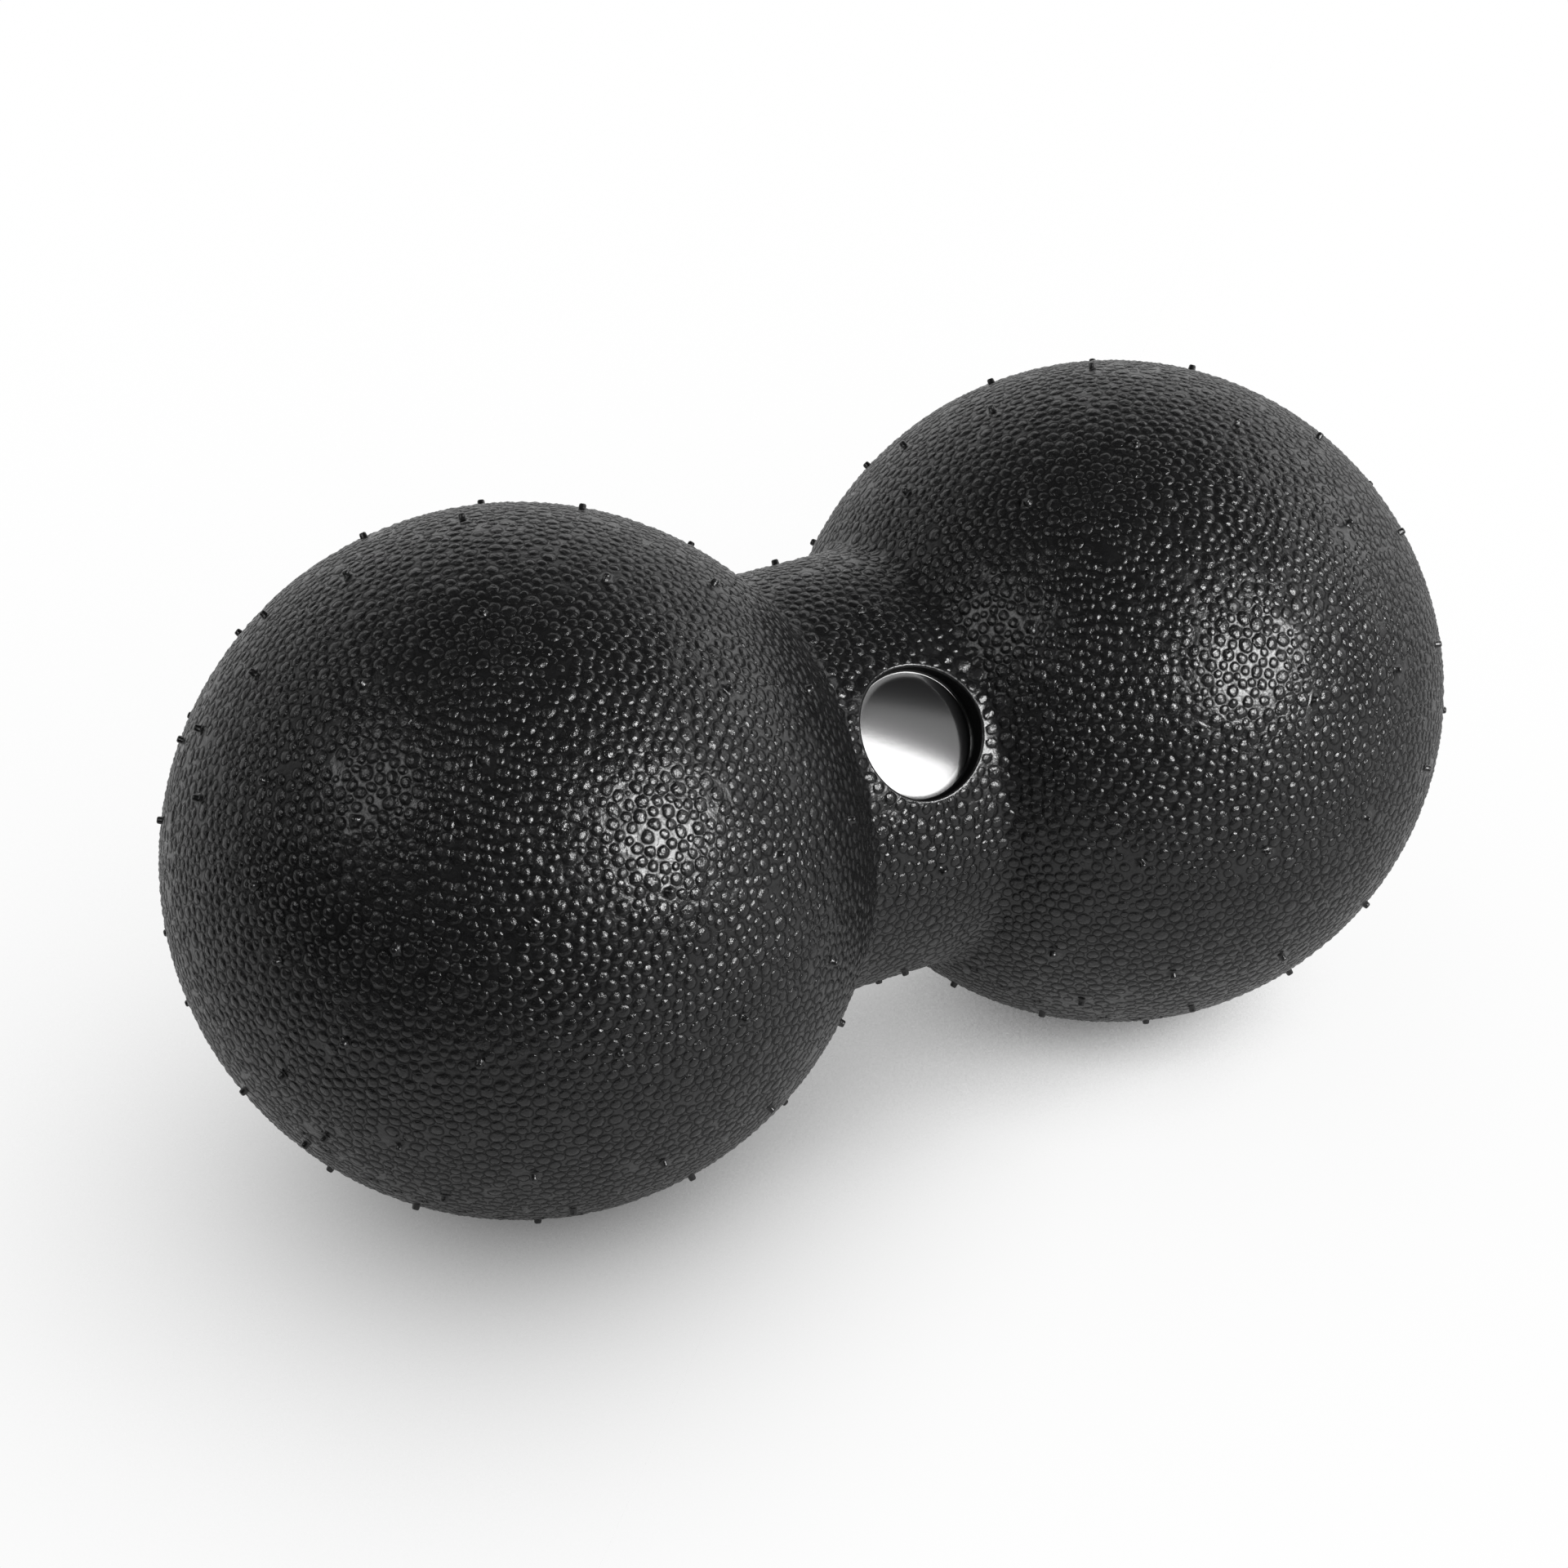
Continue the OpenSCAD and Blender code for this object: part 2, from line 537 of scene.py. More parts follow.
    def free_places(self, random: np.random.Generator) -> tuple[np.ndarray, np.ndarray]:
        """Places spread evenly over the skin, shaken, and clear of the fixed beads.

        Args:
            random: The source of chance.

        Returns:
            Their stations and turns.
        """
        ends = self.form.half_length
        table = np.linspace(-ends, ends, self.area_steps + 1)
        _, radius, _ = self.form.outline(table)
        area = np.concatenate([[0], np.cumsum((radius[1:] + radius[:-1]) / 2 * np.diff(table))])
        total = 2 * math.pi * area[-1]
        bead_area = math.sqrt(3) / 2 * self.pitch**2
        count = int(total / bead_area)
        share = (np.arange(count) + 0.5) / count
        station = np.interp(share * area[-1], area, table)
        golden_share = 3 - math.sqrt(5)
        turn = np.arange(count) * math.pi * golden_share
        _, radius, _ = self.form.outline(station)
        shake = self.loose * self.pitch
        station = station + random.normal(0, shake, count)
        station = np.clip(station, -ends + self.pitch / 2, ends - self.pitch / 2)
        turn = turn + random.normal(0, shake, count) / np.maximum(radius, self.pitch)
        free, _ = self.form.place(station, turn)
        fixed, _ = self.form.place(self.station, self.turn)
        clear = np.ones(count, dtype=bool)
        for start in range(0, count, self.block):
            rows = slice(start, start + self.block)
            gap = np.linalg.norm(free[rows, None, :] - fixed[None, :, :], axis=2).min(axis=1)
            clear[rows] = gap > self.free_clear * self.pitch
        return station[clear], turn[clear]

    @staticmethod
    def edges(faces: np.ndarray) -> np.ndarray:
        """The three edges of every triangle, as pairs of beads."""
        return np.concatenate([faces[:, [0, 1]], faces[:, [1, 2]], faces[:, [2, 0]]])

    def join(self) -> None:
        """Join neighbouring beads by triangles, over a plane to which the skin maps truly.

        The map keeps angles, so the triangles that suit the plane suit the skin. The far end of the
        body, a last bead, is the plane's far edge, and its number is the count of the others.
        """
        ends = self.form.half_length
        table = np.linspace(-ends, ends, self.map_steps + 1)[1:-1]
        _, radius, _ = self.form.outline(table)
        steps = (1 / radius[1:] + 1 / radius[:-1]) / 2 * np.diff(table)
        stretch = np.concatenate([[0], np.cumsum(steps)])
        stretch -= np.interp(0.0, table, stretch)
        spread = np.exp(np.interp(self.station, table, stretch))
        spread[0] = 0.0
        flat = np.stack([spread * np.cos(self.turn), spread * np.sin(self.turn)], axis=1)
        spots = [Vector(point) for point in flat.tolist()]
        _, _, found, origins, *_ = delaunay_2d_cdt(spots, [], [], 0, self.same_place)
        number = np.array([given[0] for given in origins])
        faces = number[np.array(found)]
        edges = self.edges(faces)
        key = np.sort(edges, axis=1) @ np.array([len(self.station) + 1, 1])
        _, first, uses = np.unique(key, return_index=True, return_counts=True)
        border = edges[first[uses == 1]]
        last = np.full((len(border), 1), len(self.station))
        self.faces = np.concatenate([faces, np.concatenate([border[:, ::-1], last], axis=1)])

    def beads(self) -> np.ndarray:
        """The centres of the beads on the skin, with the far end last."""
        points, _ = self.form.place(self.station, self.turn)
        return np.concatenate([points, [[self.form.ball_x + self.form.ball_r, 0, 0]]])

    def neighbours(self) -> np.ndarray:
        """The pairs of beads that are neighbours, each pair once."""
        return np.unique(np.sort(self.edges(self.faces), axis=1), axis=0)

    def relax(self) -> None:
        """Push beads that overlap apart and draw lonely ones in, a few times."""
        loose = slice(self.fixed_count, -1)
        for _ in range(self.relax_rounds):
            self.join()
            points = self.beads()
            one, other = self.neighbours().T
            across = points[other] - points[one]
            length = np.linalg.norm(across, axis=1)
            short = self.bead_r[one] + self.bead_r[other] - length
            least, most = self.push_limits
            push = self.push_share * np.clip(short, least * self.pitch, most * self.pitch)
            step = across * (push / length)[:, None]
            move = np.zeros_like(points)
            np.add.at(move, other, step)
            np.add.at(move, one, -step)
            station, turn = self.form.nearest((points + move)[loose])
            self.station[self.fixed_count:] = station
            self.turn[self.fixed_count:] = turn

    def joints(self) -> np.ndarray:
        """Where three beads meet: equally deep in all three, but never outside their triangle.

        Returns:
            One point for each triangle, on the chords between the beads.
        """
        corners = self.beads()[self.faces]
        weight = self.bead_r[self.faces] ** 2
        side_a, side_b = corners[:, 1] - corners[:, 0], corners[:, 2] - corners[:, 0]
        square_a, square_b = (side_a**2).sum(axis=1), (side_b**2).sum(axis=1)
        both = (side_a * side_b).sum(axis=1)
        to_a = (square_a + weight[:, 0] - weight[:, 1]) / 2
        to_b = (square_b + weight[:, 0] - weight[:, 2]) / 2
        whole = square_a * square_b - both**2
        share_a = (to_a * square_b - to_b * both) / whole
        share_b = (to_b * square_a - to_a * both) / whole
        shares = np.stack([1 - share_a - share_b, share_a, share_b], axis=1)
        shares = np.maximum(shares, self.least_corner)
        shares /= shares.sum(axis=1)[:, None]
        return (corners * shares[:, :, None]).sum(axis=1)

    def domes(self) -> np.ndarray:
        """The radius of each bead's dome, which ends before its neighbours' cells begin.

        Returns:
            The radii, the far end's last.
        """
        points, wish = self.beads(), self.bead_r
        one, other = self.neighbours().T
        length = np.linalg.norm(points[other] - points[one], axis=1)
        lead = (wish[one] ** 2 - wish[other] ** 2) / length
        room = np.full(len(points), self.pitch)
        np.minimum.at(room, one, (length + lead) / 2)
        np.minimum.at(room, other, (length - lead) / 2)
        least, most = self.dome_limits
        return np.clip(room, least * wish, most * wish)


@dataclass
class FoamSkin:
    """The whole body as one mesh: bead cells, pips, parting line and recess."""

    form: TurnedForm = TurnedForm()
    recess: Recess = Recess()
    pips: VentPips = VentPips()
    valley_depth: float = 0.19 * MM
    bead_sink: float = 0.05 * MM
    seam_depth: float = 0.03 * MM
    seam_reach: float = 0.04 * MM
    shortest_edge: float = 0.12 * MM
    mouth_slack: float = 0.1 * MM
    mouth_cuts: int = 2
    floor_inset: float = 0.2 * MM
    floor_reach: float = 1.2 * MM
    faces_end: float = 0.7
    dome_stretch: float = 0.05
    mark_seed: int = 7
    recess_up: float = math.radians(36)
    name: str = "foam_body_skin"

    def build(self, finish: bpy.types.Material) -> bpy.types.Object:
        """Make the body.

        Args:
            finish: The material of the foam.

        Returns:
            The finished piece.
        """
        packing = BeadPacking(self.form, self.recess, self.pips)
        packing.scatter()
        packing.relax()
        packing.join()
        beads = packing.beads()
        # Every bead that has come to lie over the recess is cut away with its ring
        kinds = np.append(packing.kind, SeedKind.BEAD.value)
        reach = self.recess.radius + self.recess.rim_r - self.mouth_slack
        over_recess = (np.hypot(beads[:, 0], beads[:, 1]) < reach) & (beads[:, 2] > 0)
        kinds[over_recess] = SeedKind.INSIDE_RECESS.value
        LOG.info("%d bead cells on the skin", len(beads))

        bm = bmesh.new()
        self.cells(bm, packing)
        opening = self.fans(bm, kinds, SeedKind.INSIDE_RECESS)
        bmesh.ops.delete(bm, geom=opening, context="FACES")
        self.raise_pips(bm, kinds)
        self.recess_walls(bm)
        bmesh.ops.recalc_face_normals(bm, faces=bm.faces[:])
        mesh = bpy.data.meshes.new(self.name)
        bm.to_mesh(mesh)
        bm.free()
        self.mark(mesh, packing)
        turn = Matrix.Rotation(math.pi / 2 - self.recess_up, 3, "X")
        mesh.transform(turn.to_4x4())
        mesh.polygons.foreach_set("use_smooth", [True] * len(mesh.polygons))
        mesh.materials.append(finish)
        return put(self.name, mesh)

    def cells(self, bm: bmesh.types.BMesh, packing: BeadPacking) -> None:
        """Turn the triangles between the beads into a fan of triangles round each bead.

        Args:
            bm: The mesh to fill.
            packing: The beads.
        """
        junctions, normals = self.form.place(*self.form.nearest(packing.joints()))
        on_seam = np.abs(junctions[:, 2]) < self.seam_reach
        depth = np.where(on_seam, self.seam_depth, self.valley_depth)
        junctions = junctions - normals * depth[:, None]
        beads = packing.beads()
        _, normals = self.form.place(*self.form.nearest(beads))
        random = np.random.default_rng(packing.seed + 1)
        # The smaller a bead, the deeper it sits, with chance from none to twice its share
        sink = (packing.largest - packing.size) * random.uniform(0, 2, len(beads)) * self.bead_sink
        beads = beads - normals * sink[:, None]

        bm.verts.layers.int.new("bead")
        rough = bpy.data.meshes.new("beads")
        rough.from_pydata(beads.tolist(), [], packing.faces.tolist())
        bm.from_mesh(rough)
        bpy.data.meshes.remove(rough)
        number = bm.verts.layers.int["bead"]
        for place, vert in enumerate(bm.verts):
            vert[number] = place + 1
        between = bm.edges[:]
        poked = bmesh.ops.poke(bm, faces=bm.faces[:], center_mode="MEAN")
        bmesh.ops.rotate_edges(bm, edges=between, use_ccw=False)
        for vert, point in zip(poked["verts"], junctions.tolist()):
            vert.co = point
            vert[number] = 0
        joints = [edge for edge in bm.edges if not any(vert[number] for vert in edge.verts)]
        bmesh.ops.dissolve_degenerate(bm, dist=self.shortest_edge, edges=joints)

    @staticmethod
    def fans(bm: bmesh.types.BMesh, kinds: np.ndarray, kind: SeedKind) -> list[bmesh.types.BMFace]:
        """The faces of every cell that holds one kind of thing, in the order of the mesh.

        Args:
            bm: The mesh of the body.
            kinds: What each cell holds.
            kind: What is looked for.

        Returns:
            The faces.
        """
        number = bm.verts.layers.int["bead"]
        wanted = {place + 1 for place in np.flatnonzero(kinds == kind.value).tolist()}
        return [face for face in bm.faces if any(vert[number] in wanted for vert in face.verts)]

    def raise_pips(self, bm: bmesh.types.BMesh, kinds: np.ndarray) -> None:
        """Make each pip out of its own cell.

        Args:
            bm: The mesh of the body.
            kinds: What each cell holds.
        """
        number = bm.verts.layers.int["bead"]
        fans = self.fans(bm, kinds, SeedKind.PIP)
        spots = np.array([vert.co for face in fans for vert in face.verts if vert[number]])
        feet = bmesh.ops.dissolve_faces(bm, faces=fans, use_verts=False)["region"]
        pip = self.pips
        bmesh.ops.inset_individual(bm, faces=feet, thickness=pip.collar, use_even_offset=True)
        rims = [edge for face in feet for edge in face.edges]
        bmesh.ops.subdivide_edges(bm, edges=rims, cuts=1)
        middles = {}
        for face in feet:
            near = np.linalg.norm(spots - np.array(face.calc_center_median()), axis=1).argmin()
            station, turn = self.form.nearest(spots[near:near + 1])
            point, normal = self.form.place(station, turn)
            middles[face] = (Vector(point[0]), Vector(normal[0]))
        levels = (
            (pip.foot_r, -pip.root),
            (pip.tip_r, pip.height - pip.edge_r),
            (pip.tip_r - pip.edge_r, pip.height),
        )
        for step, (radius, height) in enumerate(levels):
            if step:
                bmesh.ops.inset_individual(bm, faces=feet, thickness=pip.inset)
            for face in feet:
                middle, normal = middles[face]
                for vert in face.verts:
                    out = vert.co - middle
                    out = (out - out.dot(normal) * normal).normalized()
                    vert.co = middle + out * radius + normal * height

    def recess_walls(self, bm: bmesh.types.BMesh) -> None:
        """Carry the edge of the opening round the mouth, down the wall and over the floor.

        Args:
            bm: The mesh of the body.
        """
        turn_of = bm.verts.layers.float.new("turn")
        edges = [edge for edge in bm.edges if edge.is_boundary]
        bmesh.ops.subdivide_edges(bm, edges=edges, cuts=self.mouth_cuts)
        edges = [edge for edge in bm.edges if edge.is_boundary]
        border = {vert for edge in edges for vert in edge.verts}
        border = sorted(border, key=lambda vert: math.atan2(vert.co.y, vert.co.x))
        start = math.atan2(border[0].co.y, border[0].co.x)
        for place, vert in enumerate(border):
            vert[turn_of] = start + 2 * math.pi * place / len(border)
            vert.co = self.recess.mouth(vert[turn_of], self.form, 0.0)
        hollow = self.recess
        for step in range(1, hollow.rim_steps + 1):
            edges, ring = self.next_ring(bm, edges)
            for vert in ring:
                vert.co = hollow.mouth(vert[turn_of], self.form, step / hollow.rim_steps)
        rings = hollow.inner_rings(self.form)
        foot = rings[0][1]
        for step in range(1, hollow.wall_steps):
            edges, ring = self.next_ring(bm, edges)
            for vert in ring:
                top = hollow.mouth(vert[turn_of], self.form, 1.0)
                vert.co = top.lerp(Vector((top.x, top.y, foot)), step / hollow.wall_steps)
        for radius, height in rings:
            edges, ring = self.next_ring(bm, edges)
            for vert in ring:
                turn = vert[turn_of]
                vert.co = (radius * math.cos(turn), radius * math.sin(turn), height)
        closed = bmesh.ops.contextual_create(bm, geom=edges)["faces"]
        middle = bmesh.ops.poke(bm, faces=closed)["verts"][0]
        middle.co = (0, 0, self.form.waist_r - hollow.depth)

    @staticmethod
    def next_ring(
        bm: bmesh.types.BMesh, edges: list[bmesh.types.BMEdge]
    ) -> tuple[list[bmesh.types.BMEdge], list[bmesh.types.BMVert]]:
        """Grow one ring of faces from an open edge.

        Args:
            bm: The mesh of the body.
            edges: The edges of the opening.

        Returns:
            The edges of the new opening and its points.
        """
        grown = bmesh.ops.extrude_edge_only(bm, edges=edges)["geom"]
        ring = [item for item in grown if isinstance(item, bmesh.types.BMVert)]
        rims = [item for item in grown if isinstance(item, bmesh.types.BMEdge)]
        return [edge for edge in rims if edge.is_boundary], ring

    def mark(self, mesh: bpy.types.Mesh, packing: BeadPacking) -> None:
        """Write on each corner where it lies in its bead, for the material.

        Args:
            mesh: The mesh of the body, before it is turned.
            packing: The beads.
        """
        beads, dome = packing.beads(), packing.domes()
        random = np.random.default_rng(self.mark_seed)
        tone = random.uniform(0, 1, len(beads))
        lean = random.uniform(0, math.pi, len(beads))
        stretch = np.exp(random.normal(0, self.dome_stretch, len(beads)))

        corner_vert = self.read(mesh.loops, "vertex_index", np.zeros(len(mesh.loops), np.int32))
        place = self.read(mesh.vertices, "co", np.zeros(3 * len(mesh.vertices)))
        corner = place.reshape(-1, 3)[corner_vert]
        totals = self.read(mesh.polygons, "loop_total", np.zeros(len(mesh.polygons), np.int32))
        of_face = np.repeat(np.arange(len(totals)), totals)
        layer = mesh.attributes["bead"]
        numbers = self.read(layer.data, "value", np.zeros(len(mesh.vertices), np.int32))
        mesh.attributes.remove(layer)
        face_bead = np.zeros_like(totals)
        np.maximum.at(face_bead, of_face, numbers[corner_vert])
        corner_bead = face_bead[of_face]
        centre = np.maximum(corner_bead - 1, 0)
        _, normal = self.form.place(*self.form.nearest(beads))
        at_end = np.abs(normal[:, :1]) > self.faces_end
        east = np.cross(np.where(at_end, [[0.0, 0.0, 1.0]], [[1.0, 0.0, 0.0]]), normal)
        east /= np.linalg.norm(east, axis=1)[:, None]
        north = np.cross(normal, east)
        off = (corner - beads[centre]) / MM
        across = (off * east[centre]).sum(axis=1)
        along = (off * north[centre]).sum(axis=1)
        # Each dome is a little longer one way than the other
        cosine, sine = np.cos(lean[centre]), np.sin(lean[centre])
        across, along = cosine * across + sine * along, cosine * along - sine * across
        across, along = across * stretch[centre], along / stretch[centre]
        radius = dome[centre] / MM
        bead = np.stack([across, along, radius], axis=1) * (corner_bead > 0)[:, None]
        self.attribute(mesh, "bead_place", bead)

        floor_z = self.form.waist_r - self.recess.depth
        within = np.hypot(corner[:, 0], corner[:, 1]) < self.recess.radius - self.floor_inset
        floor = within & (np.abs(corner[:, 2] - floor_z) < self.floor_reach)
        seam = np.abs(corner[:, 2]) / MM
        skin = np.stack([tone[centre], floor, seam], axis=1)
        self.attribute(mesh, "skin_place", skin)

    @staticmethod
    def read(items: bpy.types.bpy_prop_collection, key: str, numbers: np.ndarray) -> np.ndarray:
        """Fill an array with one property of every item."""
        items.foreach_get(key, numbers)
        return numbers

    @staticmethod
    def attribute(mesh: bpy.types.Mesh, name: str, rows: np.ndarray) -> None:
        """Write three numbers on each corner of the mesh."""
        layer = mesh.attributes.new(name, "FLOAT_VECTOR", "CORNER")
        layer.data.foreach_set("vector", rows.astype(np.float32).ravel())


# Finishes

@dataclass(frozen=True)
class Noise:
    """A noise over the body, by how many waves go to a metre and how fine its detail is."""

    scale: float
    detail: float
    roughness: float = 0.5

    def over(self, tree: ShaderTree, place: bpy.types.NodeSocket) -> Value:
        """Add the noise to a material.

        Args:
            tree: The tree of the material.
            place: Where the noise is taken.

        Returns:
            The noise, from 0 to 1.
        """
        sizes = {"Scale": self.scale, "Detail": self.detail, "Roughness": self.roughness}
        noise = tree.node("ShaderNodeTexNoise", None, {"Vector": place, **sizes})
        return Value(tree, noise.outputs["Fac"])


@dataclass(frozen=True)
class BlackFoam:
    """Black bead foam with a satin skin: round domes over a smooth valley net.

    Rises are in millimetres, that of a dome for each millimetre of its radius. The tint is the
    least lightness of the colour and what a bead's tone and the cloud add to it.
    """

    name: str = "black_foam"
    colour: tuple[float, float, float] = (0.004, 0.004, 0.0042)
    tint: tuple[float, float, float] = (0.75, 0.3, 0.2)
    ior: float = 1.5
    roughness: float = 0.28
    tone_roughness: float = 0.08
    cloud_roughness: float = 0.1
    floor_roughness: float = 0.12
    cloud: Noise = Noise(60.0, 3.0)
    dome_rise: float = 0.25
    dome_power: float = 1.25
    dome_edge: float = 1.1
    wobble: Noise = Noise(1100.0, 3.0, 0.6)
    least_square: float = 0.01
    bead_from: float = 0.05
    line_rise: float = 0.06
    line_side: tuple[float, float] = (0.1, 0.3)
    swell_rise: float = 0.28
    swell: Noise = Noise(420.0, 2.0)
    grain_rise: float = 0.065
    grain: Noise = Noise(1900.0, 3.0, 0.6)
    floor_calm: float = 0.98
    # Painted shade round the foot of each dome: its colour, roughness, specular, the ring's reach
    # and its strength
    painted_shade_colour: tuple[float, float, float, float] = (0.002, 0.002, 0.0021, 1.0)
    painted_shade_roughness: float = 0.9
    painted_shade_specular: float = 0.1
    painted_shade_opens: tuple[float, float] = (0.45, 0.95)
    painted_shade_closes: tuple[float, float] = (1.05, 1.7)
    painted_shade_depth: float = 0.62

    def make(self) -> bpy.types.Material:
        """Build the material.

        Returns:
            The material.
        """
        material = bpy.data.materials.new(self.name)
        tree = ShaderTree(material)
        across, along, radius = tree.attribute("bead_place")
        tone, floor, seam = tree.attribute("skin_place")
        place = tree.place()
        wobble, grain, swell, cloud = (
            noise.over(tree, place) for noise in (self.wobble, self.grain, self.swell, self.cloud)
        )

        square = (radius * radius).at_least(self.least_square)
        share = (across * across + along * along) / square + (wobble - 0.5) * self.dome_edge
        # A flat top with steep sides
        dome = (1.0 - share.at_least(0.0) ** self.dome_power).at_least(0.0)
        dome = dome * radius * self.dome_rise
        line = 1.0 - seam.ramp(*self.line_side)
        beaded = radius.ramp(0.0, self.bead_from)
        height = dome + line * self.line_rise * beaded + swell * self.swell_rise * beaded
        height = height + grain * self.grain_rise * (1.0 - floor * self.floor_calm)
        bump = tree.node(
            "ShaderNodeBump", None, {"Strength": 1.0, "Distance": MM, "Height": height}
        )
        rough = self.roughness + (tone - 0.5) * self.tone_roughness
        rough = rough + (cloud - 0.5) * self.cloud_roughness
        rough = rough * (1.0 - floor) + floor * self.floor_roughness
        least, by_tone, by_cloud = self.tint
        shade = tree.node(
            "ShaderNodeVectorMath", {"operation": "SCALE"},
            {0: self.colour, "Scale": least + tone * by_tone + cloud * by_cloud},
        )
        skin_shader = tree.node(
            "ShaderNodeBsdfPrincipled", None,
            {
                "Base Color": shade.outputs[0], "Roughness": rough, "IOR": self.ior,
                "Normal": bump.outputs[0],
            },
        )
        # Painted shade: a dark shader round the foot of each dome, where shade would fall between
        # the beads
        painted_shade_shader = tree.node(
            "ShaderNodeBsdfPrincipled", None,
            {
                "Base Color": self.painted_shade_colour, "Roughness": self.painted_shade_roughness,
                "Specular IOR Level": self.painted_shade_specular,
            },
        )
        # Painted shade: the dark shader is mixed in over a ring at the foot of each dome
        gap = share.ramp(*self.painted_shade_opens) * (1.0 - share.ramp(*self.painted_shade_closes))
        tree.show(tree.mix(gap * beaded * self.painted_shade_depth, skin_shader, painted_shade_shader))
        return material


def glow(tree: ShaderTree, strength: Value) -> bpy.types.Node:
    """Mix a white glow of a varying strength.

    Args:
        tree: The tree of the material.
        strength: The strength, from 0 to 1.

    Returns:
        The glowing shader.
    """
    black = tree.node("ShaderNodeEmission", None, {"Strength": 0.0})
    white = tree.node("ShaderNodeEmission", None, {"Strength": 1.0})
    return tree.mix(strength, black, white)


@dataclass(frozen=True)
class WhiteTable:
    """A plain white table top that glows, with soft shadows under the body painted into its glow
    from how much of an even sky each point sees.

    The skin mirrors it less and less towards the front left, where the painted light of the room
    ends. On the side of the main lamp its painted shade is lighter than the plain painted shade of
    the other side.
    """

    name: str = "table_white"
    colour: tuple[float, float, float, float] = (0.9, 0.9, 0.9, 1.0)
    size: float = 6.0
    height: float = -40.0 * MM
    sky_reach: float = 0.6
    sky_samples: int = 8
    roughness: float = 0.6
    specular: float = 0.2
    plain_power: float = 0.85
    plain_gain: float = 1.05
    key_side: tuple[float, float, float] = (0.7, -0.7, 0.0)
    keyed_over: tuple[float, float] = (-0.03, 0.04)
    keyed_open: float = 0.34
    keyed_share: float = 0.9
    front_left: tuple[float, float, float] = (-0.76, -0.65, 0.0)
    lit_to: float = 0.08
    dark_from: float = 0.22
    mirrored_strength: float = 0.74

    def make(self) -> bpy.types.Object:
        """Build the table top.

        Returns:
            The table.
        """
        material = bpy.data.materials.new(self.name)
        tree = ShaderTree(material)
        place = tree.place()
        # Painted shadow: the glow that the camera sees is darkened where little of the sky is open,
        # lighter on the main lamp's side, in place of shade cast by the lamps
        open_sky = tree.node(
            "ShaderNodeAmbientOcclusion", {"samples": self.sky_samples},
            {"Distance": self.sky_reach},
        )
        sky = Value(tree, open_sky.outputs["AO"])
        plain = sky ** self.plain_power * self.plain_gain
        keyed = sky.ramp(0.0, self.keyed_open) * self.keyed_share + sky * (1.0 - self.keyed_share)
        on_key_side = tree.along(place, self.key_side).ramp(*self.keyed_over)
        shade = plain + (keyed - plain) * on_key_side
        # Painted fall of light: the glow that the skin mirrors dims towards the front left
        ahead = tree.along(place, self.front_left)
        lit = (1.0 - ahead.ramp(self.lit_to, self.dark_from)) * self.mirrored_strength
        shade = shade * (1.0 - tree.ray("Glossy") * (1.0 - lit))
        matt = tree.node(
            "ShaderNodeBsdfPrincipled", None,
            {
                "Base Color": self.colour, "Roughness": self.roughness,
                "Specular IOR Level": self.specular,
            },
        )
        tree.show(tree.mix(tree.shown(), matt, glow(tree, shade)))
        bm = bmesh.new()
        bmesh.ops.create_grid(bm, x_segments=1, y_segments=1, size=self.size / 2)
        bmesh.ops.translate(bm, verts=bm.verts[:], vec=(0, 0, self.height))
        return stage_piece("table", bm, material)


@dataclass(frozen=True)
class Backdrop:
    """A white curved wall behind the body, which the skin mirrors along its outline.

    It fades in from the middle towards the back, out towards its top, and is weaker at the left.
    """

    name: str = "backdrop_white"
    radius: float = 1.5
    foot: float = -0.1
    height: float = 2.2
    half_sweep: float = math.radians(100)
    strength: float = 0.95
    full_back: float = 0.9
    fade_from: float = 0.2
    left_strength: float = 0.6
    right_gain: float = 0.85
    steps: int = 32

    def make(self) -> bpy.types.Object:
        """Build the wall.

        Returns:
            The wall.
        """
        material = bpy.data.materials.new(self.name)
        tree = ShaderTree(material)
        x, y, z = tree.parts(tree.place())
        back = y.ramp(0.0, self.full_back * self.radius)
        low = 1.0 - z.ramp(self.fade_from * self.height, self.height)
        side = self.left_strength + x.ramp(-self.radius, self.radius) * self.right_gain
        tree.show(glow(tree, back * low * side * tree.shown() * self.strength))
        bm = bmesh.new()
        start = Matrix.Rotation(-self.half_sweep, 3, "Z") @ Vector((0, self.radius, 0))
        levels = (self.foot, self.height)
        ends = [bm.verts.new(start + Vector((0, 0, level))) for level in levels]
        bmesh.ops.spin(
            bm, geom=[*ends, bm.edges.new(ends)], axis=(0, 0, 1), cent=(0, 0, 0),
            angle=2 * self.half_sweep, steps=self.steps, use_duplicate=False,
        )
        return stage_piece("backdrop", bm, material)


def put(name: str, data: bpy.types.Mesh | bpy.types.Light | bpy.types.Camera) -> bpy.types.Object:
    """Make an object and put it in the scene.

    Args:
        name: The name of the object.
        data: Its mesh, lamp or camera.

    Returns:
        The object, at the origin.
    """
    made = bpy.data.objects.new(name, data)
    bpy.context.scene.collection.objects.link(made)
    return made


def stage_piece(
    name: str, bm: bmesh.types.BMesh, material: bpy.types.Material
) -> bpy.types.Object:
    """Turn a mesh into an object with its material, put in the scene.

    Args:
        name: The name of the object.
        bm: Its mesh, which is used up.
        material: Its material.

    Returns:
        The object.
    """
    mesh = bpy.data.meshes.new(name)
    bm.to_mesh(mesh)
    bm.free()
    mesh.materials.append(material)
    piece = put(name, mesh)
    return piece


# Light and camera

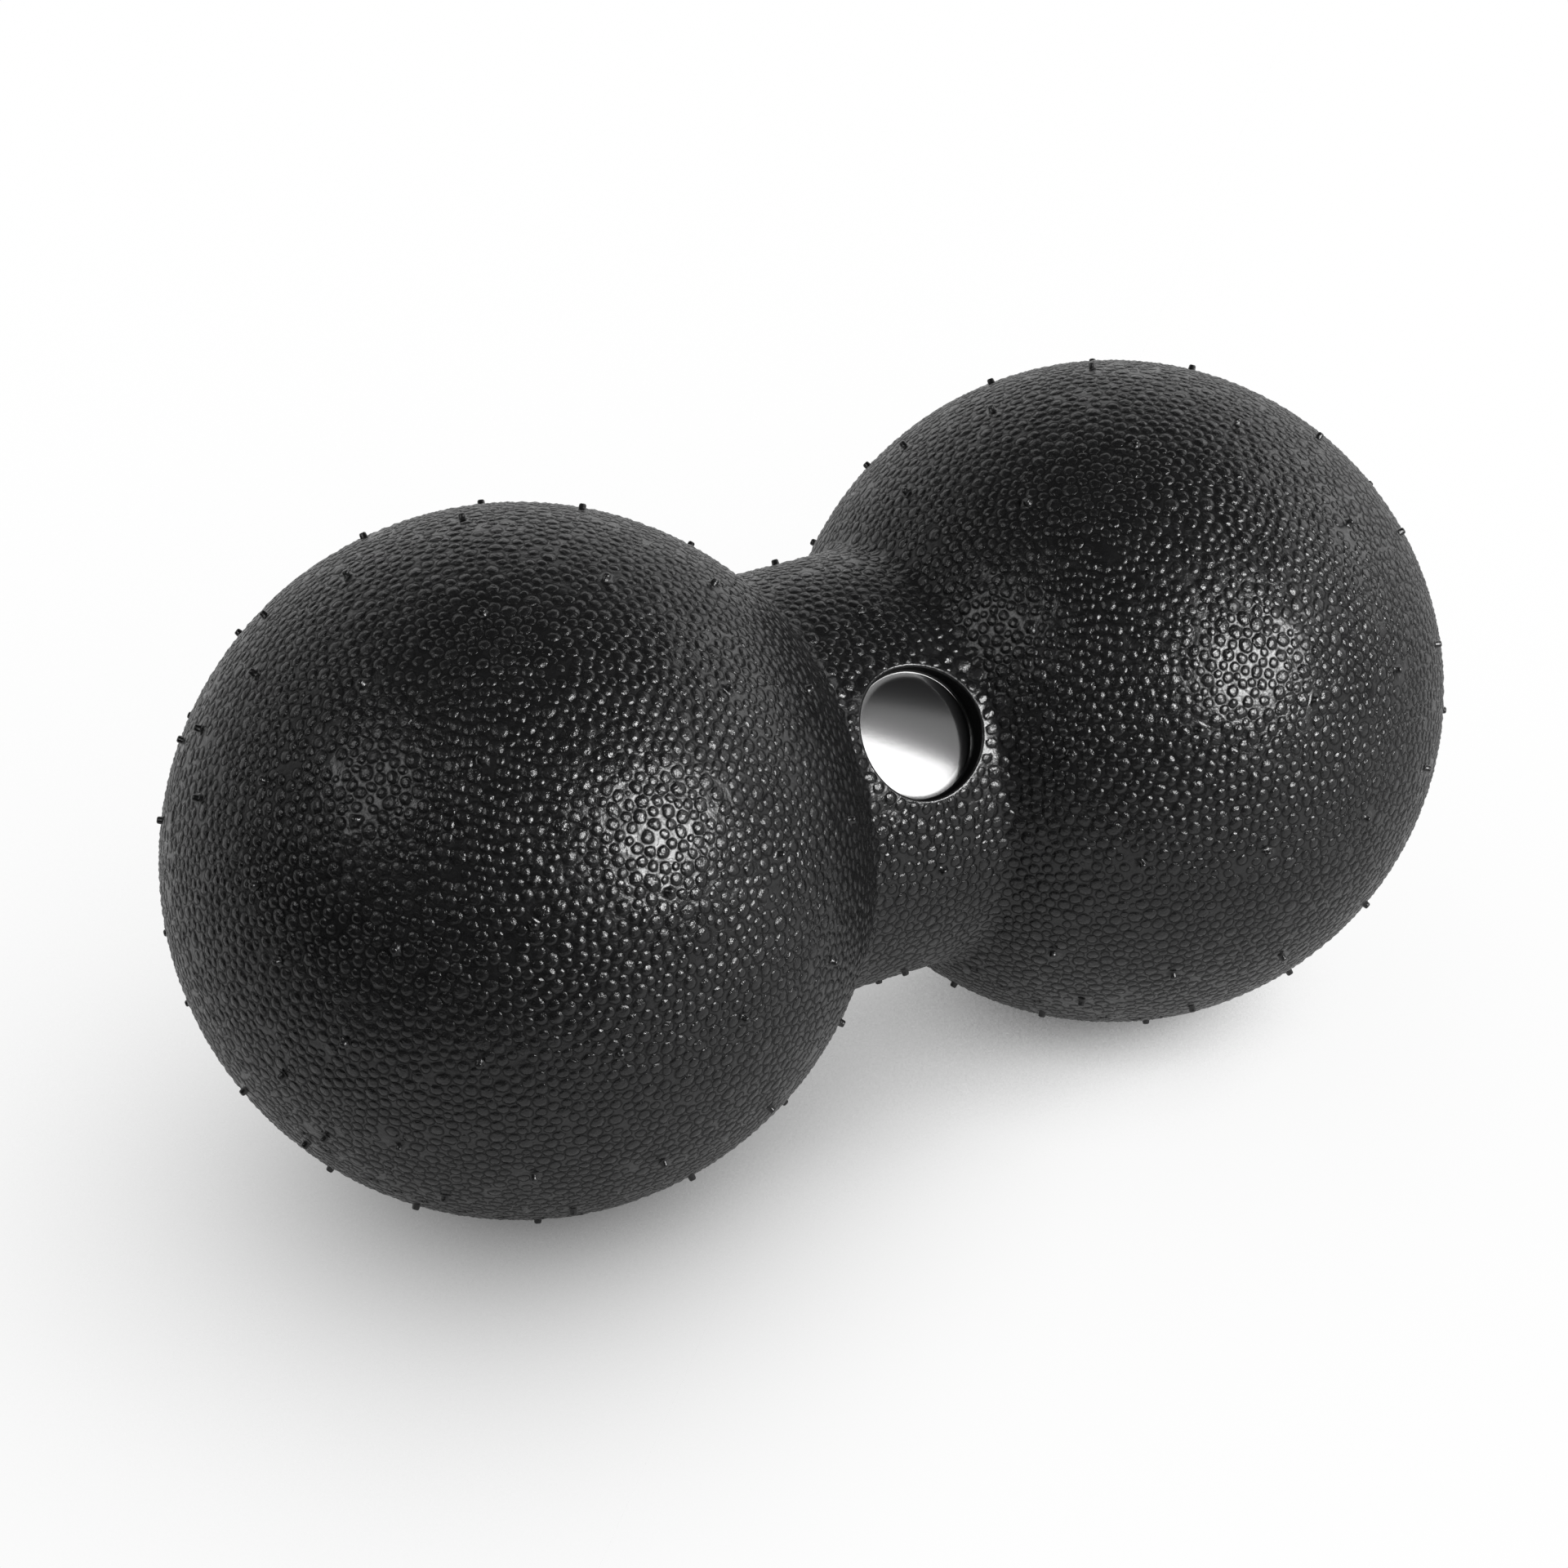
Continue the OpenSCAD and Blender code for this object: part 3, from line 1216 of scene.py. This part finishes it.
@dataclass(frozen=True)
class Softbox:
    """One flat lamp that looks at the body."""

    name: str
    azimuth: float
    elevation: float
    distance: float
    width: float
    height: float
    tilt: float
    power: float

    def make(self) -> None:
        """Hang the lamp. Its azimuth runs from the front, -Y, towards +X."""
        light = bpy.data.lights.new(self.name, "AREA")
        light.shape = "RECTANGLE"
        light.size = self.width
        light.size_y = self.height
        light.energy = self.power
        lamp = put(self.name, light)
        away = facing(self.azimuth, self.elevation)
        lamp.location = away * self.distance
        turn = Quaternion((0.0, 0.0, 1.0), math.radians(self.tilt))
        lamp.rotation_euler = (away.to_track_quat("Z", "Y") @ turn).to_euler()


def facing(azimuth: float, elevation: float) -> Vector:
    """The unit vector towards a direction.

    Args:
        azimuth: Degrees from the front, -Y, towards +X.
        elevation: Degrees above level.

    Returns:
        The vector.
    """
    turn, rise = math.radians(azimuth), math.radians(elevation)
    return Vector((
        math.sin(turn) * math.cos(rise), -math.cos(turn) * math.cos(rise), math.sin(rise)
    ))


@dataclass(frozen=True)
class Studio:
    """Plain soft light from a white room, with one main lamp and three weak ones."""

    ambient: float = 0.09
    lamps: tuple[Softbox, ...] = (
        Softbox("key", 21.5, 27.0, 1.0, 0.38, 0.38, -43.0, 14.0),
        Softbox("over_key", 37.0, 32.4, 1.0, 0.44, 0.14, -43.0, 0.6),
        Softbox("side", -89.0, 39.0, 1.2, 0.5, 0.5, 0.0, 2.8),
        Softbox("far_side", 92.0, 22.0, 1.4, 1.0, 1.0, 0.0, 5.5),
    )

    def make(self) -> None:
        """Light the room."""
        world = bpy.data.worlds.new("room")
        bpy.context.scene.world = world
        tree = ShaderTree(world)
        strength = self.ambient + tree.ray("Camera") * (1.0 - self.ambient)
        room = tree.node(
            "ShaderNodeBackground", None, {"Color": (1, 1, 1, 1), "Strength": strength}
        )
        tree.show(room, "World")
        for lamp in self.lamps:
            lamp.make()


@dataclass(frozen=True)
class PhotoCamera:
    """The camera where the photograph was taken from."""

    azimuth: float = -31.529
    elevation: float = 28.560
    distance: float = 443.59 * MM
    pan: float = 0.7366
    tilt: float = 0.1750
    focal_px: float = 4666.7
    frame_px: float = 1920.0
    sensor_mm: float = 36.0

    def make(self) -> None:
        """Set up the camera."""
        lens = bpy.data.cameras.new("photo")
        lens.sensor_width = self.sensor_mm
        lens.lens = self.focal_px / self.frame_px * self.sensor_mm
        camera = put("photo", lens)
        camera.location = facing(self.azimuth, self.elevation) * self.distance
        back = facing(self.azimuth + self.pan, self.elevation + self.tilt)
        camera.rotation_euler = back.to_track_quat("Z", "Y").to_euler()
        bpy.context.scene.camera = camera


def main() -> None:
    """Build the camera, the room and the body, and report each piece."""
    logging.basicConfig(level=logging.INFO, format="%(message)s")
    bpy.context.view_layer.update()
    bpy.context.scene.view_settings.view_transform = "Standard"
    PhotoCamera().make()
    Studio().make()
    WhiteTable().make()
    Backdrop().make()
    skin = FoamSkin().build(BlackFoam().make())
    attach(skin, "root")
    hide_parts("foam_body")
    LOG.info("%s: %d triangles", skin.name, sum(len(p.vertices) - 2 for p in skin.data.polygons))


if __name__ == "__main__":
    main()
